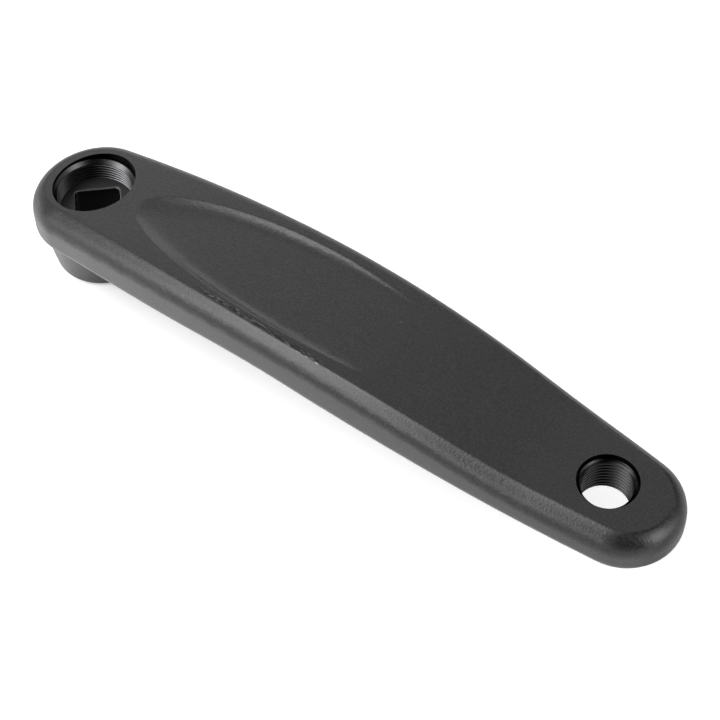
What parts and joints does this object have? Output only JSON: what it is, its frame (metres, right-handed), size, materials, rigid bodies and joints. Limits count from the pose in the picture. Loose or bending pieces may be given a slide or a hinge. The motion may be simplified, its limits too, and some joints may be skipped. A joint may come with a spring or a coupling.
{
  "type": "bicycle crank arm",
  "caption": "Left-hand bicycle crank arm, a broad satin black aluminium bar with a square taper socket, an extractor thread and a pedal eye.",
  "frame": {"origin": "centre of the boss's inner end, where the spindle goes in, on the spindle axis", "axes": "+Z outward along the spindle axis, away from the bicycle; +X from the spindle axis to the pedal axis; +Y across the arm"},
  "size_m": [0.2087, 0.0412, 0.0402],
  "materials": {
    "arm": "satin black over a fine bead-blasted skin, bare-looking dark metal in the bores"
  },
  "bodies": {
    "root": {"crank_arm": "arm"}
  },
  "joints": []
}
